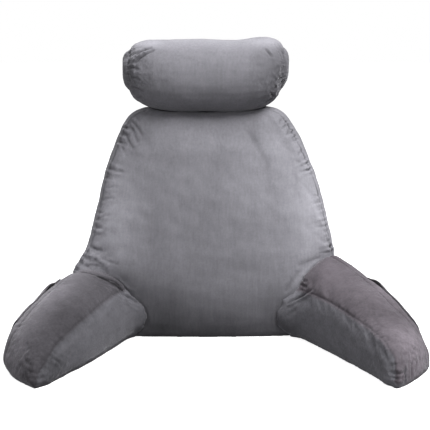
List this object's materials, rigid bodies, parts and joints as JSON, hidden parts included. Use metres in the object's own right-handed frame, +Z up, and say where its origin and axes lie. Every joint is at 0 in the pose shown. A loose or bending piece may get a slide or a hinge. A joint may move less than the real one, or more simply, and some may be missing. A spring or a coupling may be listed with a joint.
{
  "type": "reading pillow with arms",
  "caption": "Filled velour backrest with two splayed arm rests, a patch pocket on each arm and a neck roll on top; it stands on its flat underside.",
  "frame": {"origin": "middle of the bounding box's bottom face, on the surface that the pillow stands on", "axes": "+Z up, -Y the way the sitter faces, from the backrest towards the arms' ends, +X to the right as seen by someone looking at the pillow from the front"},
  "size_m": [0.8412, 0.5608, 0.638],
  "materials": {
    "velour": "short grey velour pile",
    "pocket_velour": "short grey velour pile"
  },
  "bodies": {
    "root": {"backrest": "velour", "arm_right": "velour", "arm_left": "velour", "neck_roll": "velour", "pocket_right": "pocket_velour", "pocket_left": "pocket_velour"}
  },
  "joints": []
}
